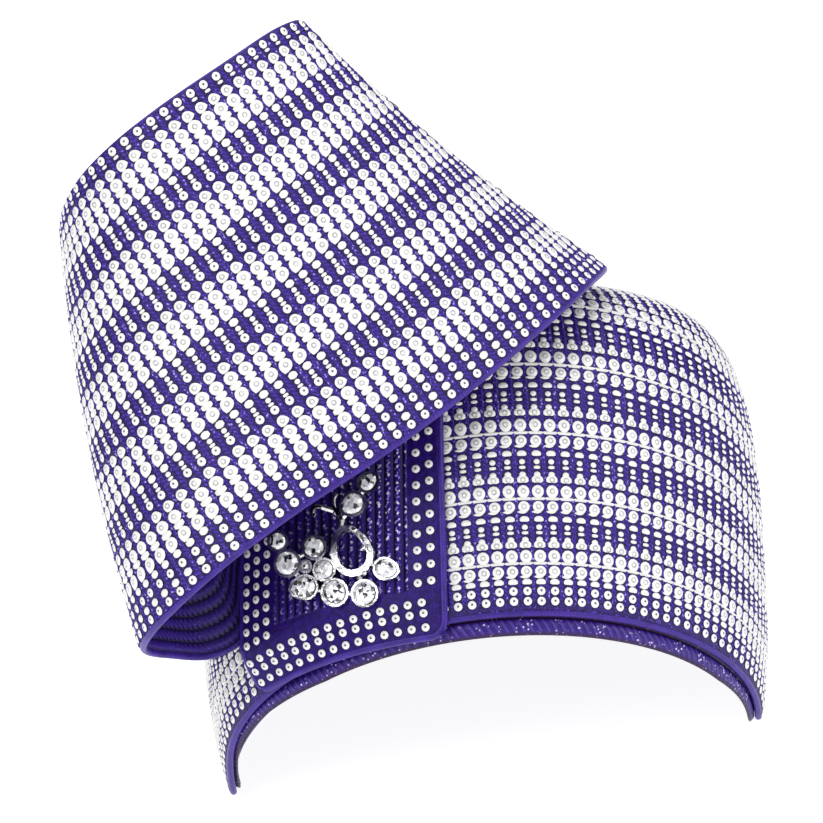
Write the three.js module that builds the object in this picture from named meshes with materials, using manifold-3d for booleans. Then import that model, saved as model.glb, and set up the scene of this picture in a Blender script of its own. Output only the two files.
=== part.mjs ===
import * as THREE from 'three';
import { mergeVertices } from 'three/addons/utils/BufferGeometryUtils.js';
import Module from 'manifold-3d';

const wasm = await Module();
wasm.setup();

const V = (x, y, z) => new THREE.Vector3(x, y, z);
const RAD = Math.PI / 180;

// Millimetres. The hat is drawn as it is worn: x to the wearer's left, y to the back, z up,
// with the zero point midway between the two side corners of the rim.
const CROWN = {
  halfWidth: 84,
  frontDepth: 72,
  backDepth: 104,
  height: 136,
  shoulder: 5.5, // exponent of the profile: 2 is a half round, more is squarer
  tuck: 0.055, // share that the wall draws in at the rim
  tuckHeight: 40,
};
const WALL = 2;
const ROW_TILT = 25 * RAD; // the front rim and the braid rows rise this much towards the front
const RIM_ROUNDING = 3; // softens the two side corners
const RIM_BINDING = { radius: 1.5, frontHeight: 1.5, floorHeight: 1.2, gap: 0.5, sides: 10 };

// How the hat stands by itself: on the back half of its rim, tilted back and leaning to one side.
const BACK_TILT = 26.5 * RAD;
const SIDE_LEAN = 12 * RAD;
const REST_LIFT = 3.3;
const REST_SHIFT = { x: 1.74, y: -37.31 }; // puts the middle of the resting hat's box at x = y = 0

// The flap is one wide band turned into a loop. Each row is a place on its edge, in order:
// across the front from the right corner to the left, round the left turn and back behind.
const FLAP_LOWER_EDGE = [
  { place: 'right corner', x: 27, y: -52, z: 136 },
  { place: 'right corner, front', x: 16, y: -74, z: 125 },
  { place: 'over the crown', x: -3, y: -86, z: 108 },
  { place: 'over the tab', x: -27, y: -92, z: 88 },
  { place: 'over the brooch', x: -49, y: -94, z: 72 },
  { place: 'front, left half', x: -72, y: -94, z: 57 },
  { place: 'front, left', x: -90, y: -90, z: 44 },
  { place: 'start of the left turn', x: -102, y: -81, z: 34 },
  { place: 'left turn', x: -109, y: -66, z: 27 },
  { place: 'left turn, back', x: -109, y: -50, z: 24 },
  { place: 'end of the left turn', x: -100, y: -38, z: 24 },
  { place: 'back, beside the crown', x: -87, y: -30, z: 25 },
  { place: 'back, under the tab', x: -78, y: -32, z: 30 },
  { place: 'back, rising', x: -76, y: -34, z: 46 },
  { place: 'back, rising', x: -74, y: -38, z: 62 },
  { place: 'back, shoulder', x: -70, y: -42, z: 82 },
  { place: 'back, on the crown', x: -54, y: -55, z: 100 },
  { place: 'back, on the crown', x: -34, y: -65, z: 109 },
  { place: 'back, on the crown', x: -11, y: -67, z: 119 },
  { place: 'back, near the corner', x: 11, y: -60, z: 129 },
];
const FLAP_UPPER_EDGE = [
  { place: 'right corner', x: -68, y: -86, z: 198 },
  { place: 'right corner, front', x: -75, y: -94, z: 194 },
  { place: 'front', x: -92, y: -101, z: 181 },
  { place: 'front, left half', x: -110, y: -101, z: 168 },
  { place: 'start of the left turn', x: -122, y: -95, z: 159 },
  { place: 'left turn', x: -130, y: -81, z: 152 },
  { place: 'left turn', x: -132, y: -61, z: 147 },
  { place: 'left turn, back', x: -129, y: -45, z: 144 },
  { place: 'back', x: -118, y: -33, z: 151 },
  { place: 'back', x: -102, y: -39, z: 165 },
  { place: 'back', x: -85, y: -55, z: 179 },
  { place: 'right corner, back', x: -73, y: -75, z: 191 },
];
const FLAP_BOW = V(-3.3, 0, -1.3); // how far the middle of the band bows out of its straight rulings
const FLAP_BINDING = { radius: 1.2, inset: 1.2, gap: 0.6, sides: 6 };

// The tab lies on the crown: angles are measured round the crown from the front, to the left.
const TAB = {
  left: -62.5 * RAD,
  leftTop: -60.5 * RAD,
  right: -18 * RAD,
  bottomLeft: -1.5, // height of the lower edge over the front rim
  bottomRight: -5.5,
  topLeft: 68,
  topRight: 98,
  liftRight: 0.8, // clearance under the tab at its right edge
  liftLeft: 6.5, // and at its left edge, where the flap's end lies under it
  thickness: 2,
  corner: 3,
};
const TAB_BINDING = { radius: 1.2, gap: 0.55, sides: 6 };

// The brooch is drawn flat: u to its right, v up, n out of its back plane.
const BROOCH = {
  centre: V(-55.7, -62.4, 51.9),
  outward: V(-0.43, -0.898, -0.092).normalize(),
  floor: 0.6,
  cupHeight: 2.2,
  cupWall: 0.6,
  play: 0.3,
  sides: 14,
  wire: 0.8,
};
// tip is how far a pear's point reaches, in radii, and turn is its direction in degrees.
const STONES = [
  { name: 'stone_edge', u: -17.2, v: 3.2, radius: 2.3, tip: 1, turn: 0 },
  { name: 'stone_left', u: -14.6, v: -3.2, radius: 3.2, tip: 1, turn: 0 },
  { name: 'stone_top', u: -6.6, v: 0.8, radius: 2.8, tip: 1, turn: 0 },
  { name: 'stone_middle', u: -4.0, v: -5.6, radius: 2.5, tip: 1, turn: 0 },
  { name: 'stone_low', u: -1.3, v: -12.2, radius: 3.2, tip: 1, turn: 0 },
  { name: 'stone_right', u: 7.4, v: -13.0, radius: 3.1, tip: 1, turn: 0 },
  { name: 'stone_pear_left', u: -9.6, v: -10.2, radius: 2.8, tip: 1.5, turn: 184 },
  { name: 'stone_pear_right', u: 13.4, v: -6.4, radius: 2.4, tip: 1.55, turn: -14 },
  { name: 'stone_heart', u: 5.4, v: 12.4, radius: 2.8, tip: 1.3, turn: 205 },
  { name: 'stone_leaf', u: 9.6, v: 17.9, radius: 2.1, tip: 1.5, turn: 35 },
];
const SEED = { u: -9.4, v: -4.4, radius: 1.1 };
const RING = { u: 4.4, v: -2.0, radius: 5.2, tip: 1.55, turn: 110, halfWidth: 0.95, height: 2 };
const STEM = [
  [1.2, 6.2],
  [1.8, 8.6],
  [-0.6, 10.8],
  [-4.4, 12.2],
];
// Short wires under the cups, from one place to the next.
const WIRES = [
  [-17.2, 3.2, -14.6, -3.2],
  [-14.6, -3.2, -6.6, 0.8],
  [-6.6, 0.8, -4.0, -5.6],
  [-14.6, -3.2, -9.6, -10.2],
  [-9.6, -10.2, -4.0, -5.6],
  [-9.6, -10.2, -1.3, -12.2],
  [-4.0, -5.6, -1.3, -12.2],
  [-4.0, -5.6, -1.6, -3.8],
  [-1.3, -12.2, 7.4, -13.0],
  [7.4, -13.0, 5.6, -7.8],
  [9.2, -4.4, 13.4, -6.4],
  [1.8, 8.6, 5.4, 12.4],
  [5.4, 12.4, 9.6, 17.9],
];

const braid = new THREE.MeshStandardMaterial({ color: 0x3a249a, roughness: 0.4, metalness: 0 });
const lining = new THREE.MeshStandardMaterial({ color: 0x2c1478, roughness: 0.5, metalness: 0 });
const binding = new THREE.MeshStandardMaterial({ color: 0x46289f, roughness: 0.35, metalness: 0 });
const silver = new THREE.MeshStandardMaterial({ color: 0xc9c9cf, roughness: 0.2, metalness: 1 });
const crystal = new THREE.MeshStandardMaterial({ color: 0xf4f6fa, roughness: 0.03, metalness: 0 });

// Closed solids from lists of points and triangles, with the faces turned outwards.
function solid(points, triangles) {
  const keys = new Map();
  const unique = [];
  const index = points.map((p) => {
    const key = [p.x, p.y, p.z].map((c) => Math.round(c * 1e4)).join();
    if (!keys.has(key)) {
      keys.set(key, unique.length);
      unique.push(p);
    }
    return keys.get(key);
  });
  const faces = triangles
    .map((t) => t.map((i) => index[i]))
    .filter(([a, b, c]) => a !== b && b !== c && c !== a);
  const volume = faces.reduce((sum, [a, b, c]) => {
    const cross = new THREE.Vector3().crossVectors(unique[b], unique[c]);
    return sum + unique[a].dot(cross);
  }, 0);
  const outward = volume < 0 ? faces.map(([a, b, c]) => [a, c, b]) : faces;
  const geometry = new THREE.BufferGeometry().setFromPoints(unique);
  geometry.setIndex(outward.flat());
  geometry.computeVertexNormals();
  return geometry;
}

// Two matching grids of points, the outer and the inner face of a wall, joined at their edges.
// wrap joins the last column to the first, and pole leaves the last row, a single point, open.
function wallSolid(outer, inner, { wrap = false, pole = false } = {}) {
  const rows = outer.length;
  const columns = outer[0].length;
  const points = [...outer.flat(), ...inner.flat()];
  const at = (face, i, j) => face * rows * columns + i * columns + (j % columns);
  const triangles = [];
  const quad = (a, b, c, d) => triangles.push([a, b, c], [a, c, d]);
  const across = wrap ? columns : columns - 1;
  for (let i = 0; i < rows - 1; i += 1) {
    for (let j = 0; j < across; j += 1) {
      quad(at(0, i, j), at(0, i, j + 1), at(0, i + 1, j + 1), at(0, i + 1, j));
      quad(at(1, i, j), at(1, i + 1, j), at(1, i + 1, j + 1), at(1, i, j + 1));
    }
  }
  for (let j = 0; j < across; j += 1) {
    quad(at(0, 0, j), at(1, 0, j), at(1, 0, j + 1), at(0, 0, j + 1));
    if (!pole) {
      const last = rows - 1;
      quad(at(0, last, j), at(0, last, j + 1), at(1, last, j + 1), at(1, last, j));
    }
  }
  if (!wrap) {
    const last = columns - 1;
    for (let i = 0; i < rows - 1; i += 1) {
      quad(at(0, i, 0), at(0, i + 1, 0), at(1, i + 1, 0), at(1, i, 0));
      quad(at(0, i, last), at(1, i, last), at(1, i + 1, last), at(0, i + 1, last));
    }
  }
  return solid(points, triangles);
}

// A round tube through rings of points. A closed one joins its last ring to its first.
function tubeSolid(rings, closed) {
  const sides = rings[0].length;
  const points = rings.flat();
  const triangles = [];
  const stretches = closed ? rings.length : rings.length - 1;
  for (let i = 0; i < stretches; i += 1) {
    const next = (i + 1) % rings.length;
    for (let k = 0; k < sides; k += 1) {
      const right = (k + 1) % sides;
      const [a, b] = [i * sides + k, i * sides + right];
      const [c, d] = [next * sides + right, next * sides + k];
      triangles.push([a, b, c], [a, c, d]);
    }
  }
  if (!closed) {
    const last = (rings.length - 1) * sides;
    for (let k = 1; k < sides - 1; k += 1) {
      triangles.push([0, k + 1, k], [last, last + k, last + k + 1]);
    }
  }
  return solid(points, triangles);
}

// Rings round a path. beside gives, for each point, a direction that lies across the path.
function ringsAlong(path, beside, radius, sides, closed) {
  return path.map((point, i) => {
    const count = path.length;
    const before = closed ? path[(i - 1 + count) % count] : path[Math.max(i - 1, 0)];
    const after = closed ? path[(i + 1) % count] : path[Math.min(i + 1, count - 1)];
    const along = after.clone().sub(before).normalize();
    const side = beside[i].clone().addScaledVector(along, -beside[i].dot(along)).normalize();
    const up = new THREE.Vector3().crossVectors(along, side);
    return Array.from({ length: sides }, (_, k) => {
      const angle = (k * 2 * Math.PI) / sides;
      return point
        .clone()
        .addScaledVector(side, radius * Math.cos(angle))
        .addScaledVector(up, radius * Math.sin(angle));
    });
  });
}

// Crown: a point of its surface, moved in or out by offset, at an angle from the front and a height.
function crownPoint(angle, z, offset = 0) {
  const height = CROWN.height + offset;
  const share = Math.min(Math.max(z / height, 0), 1);
  const profile = (1 - share ** CROWN.shoulder) ** (1 / CROWN.shoulder);
  const low = Math.max(0, (CROWN.tuckHeight - z) / CROWN.tuckHeight);
  const spread = profile * (1 - CROWN.tuck * low * low);
  const depth = (Math.cos(angle) > 0 ? CROWN.frontDepth : CROWN.backDepth) + offset;
  const width = CROWN.halfWidth + offset;
  return V(width * spread * Math.sin(angle), -depth * spread * Math.cos(angle), z);
}

function crownNormal(angle, z) {
  const step = 1e-3;
  const around = crownPoint(angle + step, z).sub(crownPoint(angle - step, z));
  const rising = crownPoint(angle, z + step).sub(crownPoint(angle, z - step));
  return around.cross(rising).normalize();
}

// Height over the plane of the front rim, and over the surface that the hat stands on.
const overFront = (p) => p.z * Math.cos(ROW_TILT) + p.y * Math.sin(ROW_TILT);
const FLOOR_NORMAL = V(
  -Math.sin(SIDE_LEAN),
  -Math.sin(BACK_TILT) * Math.cos(SIDE_LEAN),
  Math.cos(BACK_TILT) * Math.cos(SIDE_LEAN),
);
const overFloor = (p) => p.dot(FLOOR_NORMAL) + REST_LIFT;

// The height on the crown's wall where the rim runs, raised over both planes.
function rimHeight(angle, overFrontBy, overFloorBy, offset) {
  let z = 20;
  for (let pass = 0; pass < 30; pass += 1) {
    const p = crownPoint(angle, z, offset);
    const front = z + (overFrontBy - overFront(p)) / Math.cos(ROW_TILT);
    const floor = z + (overFloorBy - overFloor(p)) / FLOOR_NORMAL.z;
    const apart = front - floor;
    z = (front + floor + Math.sqrt(apart * apart + RIM_ROUNDING * RIM_ROUNDING)) / 2;
  }
  return z;
}

// Places at equal distances along a line of points, with both of its ends.
function evenly(line, steps) {
  const reached = [0];
  for (let i = 1; i < line.length; i += 1) {
    reached.push(reached[i - 1] + line[i].distanceTo(line[i - 1]));
  }
  const total = reached[line.length - 1];
  return Array.from({ length: steps + 1 }, (_, i) => {
    const wanted = (total * i) / steps;
    const next = Math.max(1, reached.findIndex((distance) => distance >= wanted - 1e-6));
    const share = (wanted - reached[next - 1]) / (reached[next] - reached[next - 1]);
    return line[next - 1].clone().lerp(line[next], share);
  });
}

const ROUND_CROWN = 60;
const UP_CROWN = 10;

function crownFace(offset) {
  const edge = 2 * RIM_BINDING.radius + RIM_BINDING.gap;
  const columns = Array.from({ length: ROUND_CROWN }, (_, j) => {
    const angle = (j * 2 * Math.PI) / ROUND_CROWN;
    const floorEdge = RIM_BINDING.floorHeight + RIM_BINDING.radius + RIM_BINDING.gap;
    const low = rimHeight(angle, edge, floorEdge, offset);
    const top = CROWN.height + offset;
    const shoulder = 0.75 * top;
    const widest = (1 - 0.75 ** CROWN.shoulder) ** (1 / CROWN.shoulder);
    const wall = Array.from({ length: 60 }, (_, i) =>
      crownPoint(angle, low + ((shoulder - low) * i) / 60, offset),
    );
    const cap = Array.from({ length: 100 }, (_, i) => {
      const spread = widest * Math.cos((i * Math.PI) / 200);
      return crownPoint(angle, top * (1 - spread ** CROWN.shoulder) ** (1 / CROWN.shoulder), offset);
    });
    const fine = [...wall, ...cap, V(0, 0, top)];
    return evenly(fine, UP_CROWN);
  });
  return Array.from({ length: UP_CROWN + 1 }, (_, i) => columns.map((column) => column[i]));
}

const crownGeometry = wallSolid(crownFace(0), crownFace(-WALL), { wrap: true, pole: true });

// Rim binding: a round cord sewn along the crown's edge, pressed flat where the hat stands on it.
const ROUND_RIM = 72;
const rimAngles = Array.from({ length: ROUND_RIM }, (_, i) => (i * 2 * Math.PI) / ROUND_RIM);
const rimPath = rimAngles.map((angle) => {
  const { frontHeight, floorHeight } = RIM_BINDING;
  return crownPoint(angle, rimHeight(angle, frontHeight, floorHeight, -WALL / 2), -WALL / 2);
});
const rimBeside = rimAngles.map((angle) => V(Math.sin(angle), -Math.cos(angle), 0));
const rimRings = ringsAlong(rimPath, rimBeside, RIM_BINDING.radius, RIM_BINDING.sides, true);
for (const point of rimRings.flat()) {
  point.addScaledVector(FLOOR_NORMAL, Math.max(0, -overFloor(point)));
}
const rimBindingGeometry = tubeSolid(rimRings, true);

// Flap: straight rulings from the upper edge to the lower, bowed in the middle.
const edgeCurve = (table) => {
  const places = table.map(({ x, y, z }) => V(x, y, z));
  const curve = new THREE.CatmullRomCurve3(places, true, 'centripetal');
  curve.arcLengthDivisions = 800;
  return curve;
};
const flapUpper = edgeCurve(FLAP_UPPER_EDGE);
const flapLower = edgeCurve(FLAP_LOWER_EDGE);

function flapPoint(round, down) {
  const turn = ((round % 1) + 1) % 1;
  const point = flapUpper.getPointAt(turn).lerp(flapLower.getPointAt(turn), down);
  return point.addScaledVector(FLAP_BOW, 4 * down * (1 - down));
}

function flapNormal(round, down) {
  const step = 2e-3;
  const around = flapPoint(round + step, down).sub(flapPoint(round - step, down));
  const falling = flapPoint(round, down + step).sub(flapPoint(round, down - step));
  return falling.cross(around).normalize();
}

const ROUND_FLAP = 84;
const DOWN_FLAP = 7;
const flapTurns = Array.from({ length: ROUND_FLAP }, (_, j) => j / ROUND_FLAP);
// The share of a ruling that reaches a distance from one of the edges, measured square to it.
function flapShare(turn, edge, distance) {
  const ruling = flapLower.getPointAt(turn).sub(flapUpper.getPointAt(turn));
  const across = edge.getTangentAt(turn).cross(ruling);
  return distance / across.length();
}

function flapFace(offset) {
  const edge = FLAP_BINDING.inset + FLAP_BINDING.radius + FLAP_BINDING.gap;
  return Array.from({ length: DOWN_FLAP + 1 }, (_, i) =>
    flapTurns.map((turn) => {
      const start = flapShare(turn, flapUpper, edge);
      const end = 1 - flapShare(turn, flapLower, edge);
      const down = start + ((end - start) * i) / DOWN_FLAP;
      return flapPoint(turn, down).addScaledVector(flapNormal(turn, down), offset);
    }),
  );
}

const flapGeometry = wallSolid(flapFace(WALL / 2), flapFace(-WALL / 2), { wrap: true });

function flapBinding(atLowerEdge) {
  const downAt = (turn) => {
    const inset = flapShare(turn, atLowerEdge ? flapLower : flapUpper, FLAP_BINDING.inset);
    return atLowerEdge ? 1 - inset : inset;
  };
  const path = flapTurns.map((turn) => flapPoint(turn, downAt(turn)));
  const beside = flapTurns.map((turn) => flapNormal(turn, downAt(turn)));
  return tubeSolid(ringsAlong(path, beside, FLAP_BINDING.radius, FLAP_BINDING.sides, true), true);
}

// Tab: a strap that follows the crown's wall, wedged out at its left edge by the flap's end.
function tabPoint(across, rise, height) {
  const left = TAB.left + (TAB.leftTop - TAB.left) * rise;
  const angle = left + (TAB.right - left) * across;
  const lowest = TAB.bottomLeft + (TAB.bottomRight - TAB.bottomLeft) * across;
  const front = crownPoint(angle, 20);
  const bottom = (lowest - front.y * Math.sin(ROW_TILT)) / Math.cos(ROW_TILT);
  const top = TAB.topLeft + (TAB.topRight - TAB.topLeft) * across;
  const z = bottom + (top - bottom) * rise;
  const wedge = THREE.MathUtils.smoothstep(rise, 0, 0.24) * (1 - across) ** 1.2;
  const lift = TAB.liftRight + (TAB.liftLeft - TAB.liftRight) * wedge + height;
  return crownPoint(angle, z).addScaledVector(crownNormal(angle, Math.max(z, 0)), lift);
}

const TAB_SPAN = 60; // the tab's least width and height, to turn millimetres into shares
const TAB_TALL = 50;
const tabInset = (2 * TAB_BINDING.radius + TAB_BINDING.gap) / TAB_SPAN;
const tabBottomInset = (2 * TAB_BINDING.radius + TAB_BINDING.gap) / TAB_TALL;
const ACROSS_TAB = 12;
const UP_TAB = 8;

function tabFace(height) {
  return Array.from({ length: UP_TAB + 1 }, (_, i) =>
    Array.from({ length: ACROSS_TAB + 1 }, (_, j) => {
      const across = tabInset + ((1 - 2 * tabInset) * j) / ACROSS_TAB;
      return tabPoint(across, tabBottomInset + ((1 - tabBottomInset) * i) / UP_TAB, height);
    }),
  );
}

const tabGeometry = wallSolid(tabFace(TAB.thickness), tabFace(0));

// Tab binding: down the left edge, round two corners and up the right edge.
function tabBindingGeometry() {
  const { radius, sides } = TAB_BINDING;
  const [edgeX, edgeY] = [radius / TAB_SPAN, radius / TAB_TALL];
  const outline = new THREE.Path();
  const [cornerX, cornerY] = [TAB.corner / TAB_SPAN, TAB.corner / TAB_TALL];
  outline.moveTo(edgeX, 1);
  outline.lineTo(edgeX, edgeY + cornerY);
  outline.quadraticCurveTo(edgeX, edgeY, edgeX + cornerX, edgeY);
  outline.lineTo(1 - edgeX - cornerX, edgeY);
  outline.quadraticCurveTo(1 - edgeX, edgeY, 1 - edgeX, edgeY + cornerY);
  outline.lineTo(1 - edgeX, 1);
  const places = outline.getSpacedPoints(48);
  const path = places.map(({ x, y }) => tabPoint(x, y, TAB.thickness / 2));
  const beside = places.map(({ x, y }, i) => tabPoint(x, y, TAB.thickness).sub(path[i]));
  return tubeSolid(ringsAlong(path, beside, radius, sides, false), false);
}

// Brooch: outlines are circles, drawn out to a point where tip is over 1.
function outline({ u, v, radius, tip = 1, turn = 0 }, grow) {
  return Array.from({ length: BROOCH.sides }, (_, k) => {
    const angle = turn * RAD + (k * 2 * Math.PI) / BROOCH.sides;
    const point = Math.max(0, Math.cos(angle - turn * RAD)) ** 4;
    const reach = radius * (1 + (tip - 1) * point) + grow;
    return [u + reach * Math.cos(angle), v + reach * Math.sin(angle)];
  });
}

const level = (ring, n) => ring.map(([u, v]) => V(u, v, n));
const centreOf = (ring, n) => {
  const sum = ring.reduce(([a, b], [u, v]) => [a + u, b + v], [0, 0]);
  return ring.map(() => V(sum[0] / ring.length, sum[1] / ring.length, n));
};
const shrink = (ring, share) => {
  const [middle] = centreOf(ring, 0);
  return ring.map(([u, v]) => [middle.x + (u - middle.x) * share, middle.y + (v - middle.y) * share]);
};

// A solid of stacked rings, closed to a point at both ends.
function stacked(rings) {
  return tubeSolid(rings, false);
}

function stoneGeometry(stone) {
  const girdle = outline(stone, 0);
  const base = BROOCH.floor + BROOCH.play;
  const rise = 0.24 * stone.radius;
  return stacked([
    centreOf(girdle, base),
    level(shrink(girdle, 0.45), base + 0.1),
    level(girdle, base + 2 * rise),
    level(girdle, base + 2.4 * rise),
    level(shrink(girdle, 0.62), base + 3.6 * rise),
    centreOf(girdle, base + 3.6 * rise),
  ]);
}

const toManifold = (geometry) => {
  const plain = geometry.clone();
  for (const name of ['normal', 'uv']) plain.deleteAttribute(name);
  const merged = mergeVertices(plain, 1e-4);
  const vertProperties = new Float32Array(merged.attributes.position.array);
  const triVerts = new Uint32Array(merged.index.array);
  return new wasm.Manifold(new wasm.Mesh({ numProp: 3, vertProperties, triVerts }));
};

// A cup's outer form, and the hollow that its stone sits in.
function cup(place) {
  const outer = outline(place, BROOCH.cupWall + BROOCH.play);
  return stacked([
    centreOf(outer, 0),
    level(outer, 0),
    level(outer, BROOCH.cupHeight),
    centreOf(outer, BROOCH.cupHeight),
  ]);
}

function hollow(place) {
  const inner = outline(place, BROOCH.play);
  return stacked([
    centreOf(inner, BROOCH.floor),
    level(inner, BROOCH.floor),
    level(inner, BROOCH.cupHeight + 1),
    centreOf(inner, BROOCH.cupHeight + 1),
  ]);
}

function openRing() {
  const outer = outline(RING, RING.halfWidth);
  const inner = outline(RING, -RING.halfWidth);
  const rings = [level(outer, 0), level(outer, RING.height), level(inner, RING.height), level(inner, 0)];
  const sections = outer.map((_, k) => rings.map((ring) => ring[k]));
  return tubeSolid(sections, true);
}

function wire(from, to) {
  const start = V(from[0], from[1], BROOCH.wire);
  const end = V(to[0], to[1], BROOCH.wire);
  const rings = ringsAlong([start, end], [V(0, 0, 1), V(0, 0, 1)], BROOCH.wire, 6, false);
  return tubeSolid(rings, false);
}

function broochFrameGeometry() {
  const pieces = [...STONES, SEED].map(cup);
  pieces.push(openRing());
  for (const [u1, v1, u2, v2] of WIRES) pieces.push(wire([u1, v1], [u2, v2]));
  for (let i = 0; i < STEM.length - 1; i += 1) pieces.push(wire(STEM[i], STEM[i + 1]));
  const metal = pieces.map(toManifold).reduce((sum, piece) => sum.add(piece));
  const hollows = [...STONES, SEED].map(hollow).map(toManifold);
  const mesh = hollows.reduce((rest, space) => rest.subtract(space), metal).getMesh();
  const geometry = new THREE.BufferGeometry();
  geometry.setAttribute('position', new THREE.BufferAttribute(mesh.vertProperties, 3));
  geometry.setIndex(Array.from(mesh.triVerts));
  return geometry;
}

// The brooch stands in its own turned group on the tab.
const brooch = new THREE.Group();
const right = new THREE.Vector3().crossVectors(V(0, 0, 1), BROOCH.outward).normalize();
const up = new THREE.Vector3().crossVectors(BROOCH.outward, right);
brooch.setRotationFromMatrix(new THREE.Matrix4().makeBasis(right, up, BROOCH.outward));
brooch.position.copy(BROOCH.centre);

const piece = (name, geometry, material) => {
  const mesh = new THREE.Mesh(geometry, material);
  mesh.name = name;
  return mesh;
};

brooch.add(piece('brooch_frame', broochFrameGeometry(), silver));
for (const stone of STONES) brooch.add(piece(stone.name, stoneGeometry(stone), crystal));

const worn = new THREE.Group();
worn.add(
  piece('crown', crownGeometry, braid),
  piece('rim_binding', rimBindingGeometry, binding),
  piece('flap', flapGeometry, braid),
  piece('flap_lower_binding', flapBinding(true), binding),
  piece('flap_upper_binding', flapBinding(false), binding),
  piece('tab', tabGeometry, lining),
  piece('tab_binding', tabBindingGeometry(), binding),
  brooch,
);
worn.rotation.x = -BACK_TILT;

const group = new THREE.Group();
const leaning = new THREE.Group();
leaning.add(worn);
leaning.rotation.y = SIDE_LEAN;
leaning.position.set(REST_SHIFT.x, REST_SHIFT.y, REST_LIFT);
group.add(leaning);

export default group;
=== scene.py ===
import math

import bpy
import numpy as np
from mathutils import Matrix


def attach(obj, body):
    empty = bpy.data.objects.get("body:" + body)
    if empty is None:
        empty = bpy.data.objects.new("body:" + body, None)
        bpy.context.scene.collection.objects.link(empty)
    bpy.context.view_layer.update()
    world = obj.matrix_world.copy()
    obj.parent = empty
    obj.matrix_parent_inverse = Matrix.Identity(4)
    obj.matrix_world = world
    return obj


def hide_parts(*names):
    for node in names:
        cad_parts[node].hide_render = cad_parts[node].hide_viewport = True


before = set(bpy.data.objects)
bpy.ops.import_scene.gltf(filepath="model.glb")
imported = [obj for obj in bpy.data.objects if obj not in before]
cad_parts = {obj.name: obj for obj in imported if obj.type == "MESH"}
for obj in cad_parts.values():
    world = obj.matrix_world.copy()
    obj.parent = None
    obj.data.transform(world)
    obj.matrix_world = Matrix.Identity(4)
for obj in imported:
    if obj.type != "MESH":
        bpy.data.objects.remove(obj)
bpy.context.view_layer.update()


# Crown. Stiffened braid sewn round and round into one deep form, closed on top and open below.
# The wall is 2 mm thick. The front rim and the rows of braid rise 25 degrees to the front, and
# the hat stands by itself on the back half of its rim. Sizes are in millimetres, as it is worn.
CROWN_HALF_WIDTH = 84
CROWN_FRONT_DEPTH = 72
CROWN_BACK_DEPTH = 104
CROWN_HEIGHT = 136
CROWN_SHOULDER = 5.5
CROWN_TUCK = 0.055
CROWN_TUCK_HEIGHT = 40
WALL_SHARE = 0.75  # of the height, below the rounded top
WALL = 2
ROW_TILT = math.radians(25)
RIM_ROUNDING = 3
RIM_CORD_FRONT = -0.3
RIM_CORD_FLOOR = 1.2
EDGE_IN_CORD = (0.4, 0.6)  # how far the crown's edge is above the cord's middle, front and floor
BACK_TILT = math.radians(26.5)
SIDE_LEAN = math.radians(12)
REST_PLACE = np.array([1.74, -37.31, 3.3])

LEAN = np.array([
    [math.cos(SIDE_LEAN), 0, math.sin(SIDE_LEAN)],
    [0, 1, 0],
    [-math.sin(SIDE_LEAN), 0, math.cos(SIDE_LEAN)],
])
TILT = np.array([
    [1, 0, 0],
    [0, math.cos(BACK_TILT), math.sin(BACK_TILT)],
    [0, -math.sin(BACK_TILT), math.cos(BACK_TILT)],
])
SETTLE = LEAN @ TILT
FLOOR_NORMAL = SETTLE[2]


def settled(worn):
    """Points of the worn hat, in millimetres, as places on the resting one, in metres."""
    return (np.asarray(worn) @ SETTLE.T + REST_PLACE) / 1000


def unit(vectors):
    return vectors / np.linalg.norm(vectors, axis=-1, keepdims=True)


def lengths_along(line):
    """How far along a line each of its points is."""
    return np.append(0, np.cumsum(np.linalg.norm(np.diff(line, axis=0), axis=1)))


def points_at(wanted, reached, line):
    """Points of a line at the wanted places, where reached holds the place of each of its own."""
    return np.stack([np.interp(wanted, reached, line[:, k]) for k in range(3)], -1)


def crown_point(angle, z, offset=0.0):
    angle, z = np.broadcast_arrays(angle, z)
    height = CROWN_HEIGHT + offset
    share = np.clip(z / height, 0, 1)
    profile = (1 - share ** CROWN_SHOULDER) ** (1 / CROWN_SHOULDER)
    low = np.clip((CROWN_TUCK_HEIGHT - z) / CROWN_TUCK_HEIGHT, 0, None)
    spread = profile * (1 - CROWN_TUCK * low * low)
    depth = np.where(np.cos(angle) > 0, CROWN_FRONT_DEPTH, CROWN_BACK_DEPTH) + offset
    width = CROWN_HALF_WIDTH + offset
    return np.stack([width * spread * np.sin(angle), -depth * spread * np.cos(angle), z], -1)


def over_front(p):
    return p[..., 2] * math.cos(ROW_TILT) + p[..., 1] * math.sin(ROW_TILT)


def over_floor(p):
    return p @ FLOOR_NORMAL + REST_PLACE[2]


def rim_height(angle, over_front_by, over_floor_by, offset):
    z = np.full(np.shape(angle), 20.0)
    for _ in range(30):
        p = crown_point(angle, z, offset)
        front = z + (over_front_by - over_front(p)) / math.cos(ROW_TILT)
        floor = z + (over_floor_by - over_floor(p)) / FLOOR_NORMAL[2]
        z = (front + floor + np.sqrt((front - floor) ** 2 + RIM_ROUNDING ** 2)) / 2
    return z


def new_sheet(name, across, along, place):
    """A grid, laid on a surface: place gives the point for each share across and along."""
    bpy.ops.object.select_all(action="DESELECT")
    bpy.ops.mesh.primitive_grid_add(x_subdivisions=across, y_subdivisions=along, size=1,
                                    calc_uvs=True)
    piece = bpy.context.object
    piece.name = name
    piece.data.name = name
    count = len(piece.data.vertices)
    flat = np.empty(count * 3)
    piece.data.vertices.foreach_get("co", flat)
    shares = flat.reshape(-1, 3)[:, :2] + 0.5
    points = settled(place(shares[:, 0], shares[:, 1]))
    piece.data.vertices.foreach_set("co", points.ravel())
    bpy.ops.object.mode_set(mode="EDIT")
    bpy.ops.mesh.select_all(action="SELECT")
    bpy.ops.mesh.remove_doubles(threshold=1e-6)
    bpy.ops.object.mode_set(mode="OBJECT")
    bpy.ops.object.shade_smooth()
    return piece


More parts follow.
